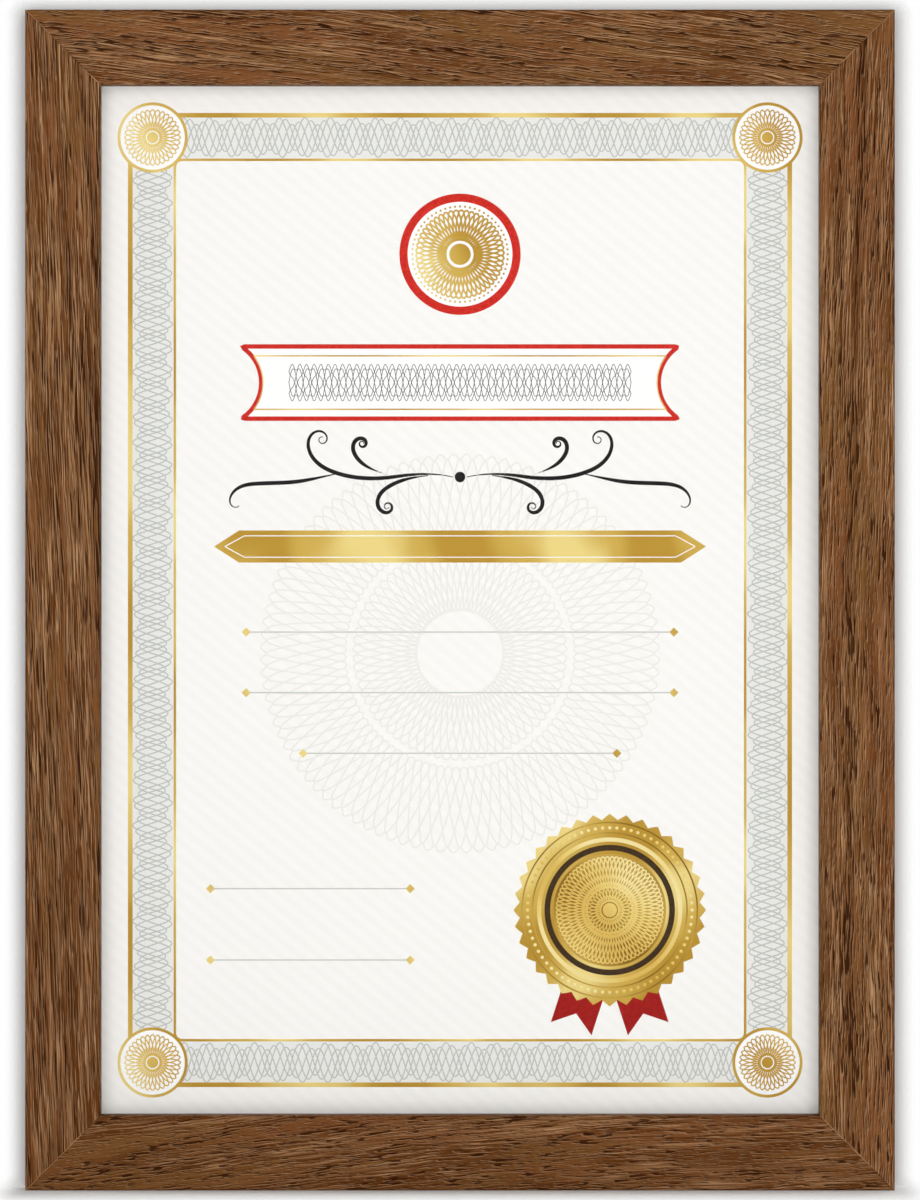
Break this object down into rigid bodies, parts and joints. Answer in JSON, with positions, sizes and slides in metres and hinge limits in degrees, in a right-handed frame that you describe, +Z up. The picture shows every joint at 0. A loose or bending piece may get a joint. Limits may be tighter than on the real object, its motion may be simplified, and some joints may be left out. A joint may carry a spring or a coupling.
{
  "type": "certificate frame",
  "caption": "Upright certificate frame: mitred flat oak mouldings, glass, printed sheet, back board under turn buttons, folding easel strut and sawtooth hangers.",
  "frame": {"origin": "middle of the bottom moulding's under face, halfway through its depth", "axes": "+X to the right seen from the front, +Y to the back, +Z up the frame's height"},
  "size_m": [0.243, 0.0189, 0.33],
  "materials": {
    "stained_oak": "brown stain, open pores, satin",
    "clear_glass": "clear, polished",
    "printed_card": "matt, printed",
    "brown_fibreboard": "smooth, waxed",
    "nickelled_strip": "nickel plate, satin",
    "bright_fastener": "zinc plate, bright",
    "blue_spring_steel": "oiled"
  },
  "bodies": {
    "frame": {"rail_bottom": "stained_oak", "rail_left": "stained_oak", "rail_top": "stained_oak", "rail_right": "stained_oak", "corner_v_nails": "blue_spring_steel", "glass_pane": "clear_glass", "certificate_sheet": "printed_card", "back_board": "brown_fibreboard", "turn_button_screws": "bright_fastener", "hinge_board_leaf": "nickelled_strip", "hinge_pin": "bright_fastener", "board_leaf_rivets": "bright_fastener", "portrait_hanger": "nickelled_strip", "landscape_hanger": "nickelled_strip", "hanger_nails": "bright_fastener"},
    "strut": {"easel_strut": "brown_fibreboard", "hinge_strut_leaf": "nickelled_strip", "strut_leaf_rivets": "bright_fastener"},
    "button_left_lower": {"turn_button_left_lower": "nickelled_strip"},
    "button_left_upper": {"turn_button_left_upper": "nickelled_strip"},
    "button_right_lower": {"turn_button_right_lower": "nickelled_strip"},
    "button_right_upper": {"turn_button_right_upper": "nickelled_strip"},
    "button_top_left": {"turn_button_top_left": "nickelled_strip"},
    "button_top_right": {"turn_button_top_right": "nickelled_strip"},
    "button_bottom_left": {"turn_button_bottom_left": "nickelled_strip"},
    "button_bottom_right": {"turn_button_bottom_right": "nickelled_strip"}
  },
  "joints": [
    {"name": "strut_hinge", "type": "hinge", "parent": "frame", "child": "strut", "pos_m": [0, 0.00915, 0.2], "axis": [1, 0, 0], "range_deg": [0, 30]},
    {"name": "button_left_lower_turn", "type": "hinge", "parent": "frame", "child": "button_left_lower", "pos_m": [-0.1135, 0.00745, 0.075], "axis": [0, 1, 0], "range_deg": [-90, 90]},
    {"name": "button_left_upper_turn", "type": "hinge", "parent": "frame", "child": "button_left_upper", "pos_m": [-0.1135, 0.00745, 0.255], "axis": [0, 1, 0], "range_deg": [-90, 90]},
    {"name": "button_right_lower_turn", "type": "hinge", "parent": "frame", "child": "button_right_lower", "pos_m": [0.1135, 0.00745, 0.075], "axis": [0, 1, 0], "range_deg": [-90, 90]},
    {"name": "button_right_upper_turn", "type": "hinge", "parent": "frame", "child": "button_right_upper", "pos_m": [0.1135, 0.00745, 0.255], "axis": [0, 1, 0], "range_deg": [-90, 90]},
    {"name": "button_top_left_turn", "type": "hinge", "parent": "frame", "child": "button_top_left", "pos_m": [-0.065, 0.00745, 0.322], "axis": [0, 1, 0], "range_deg": [-90, 90]},
    {"name": "button_top_right_turn", "type": "hinge", "parent": "frame", "child": "button_top_right", "pos_m": [0.065, 0.00745, 0.322], "axis": [0, 1, 0], "range_deg": [-90, 90]},
    {"name": "button_bottom_left_turn", "type": "hinge", "parent": "frame", "child": "button_bottom_left", "pos_m": [-0.065, 0.00745, 0.008], "axis": [0, 1, 0], "range_deg": [-90, 90]},
    {"name": "button_bottom_right_turn", "type": "hinge", "parent": "frame", "child": "button_bottom_right", "pos_m": [0.065, 0.00745, 0.008], "axis": [0, 1, 0], "range_deg": [-90, 90]}
  ]
}
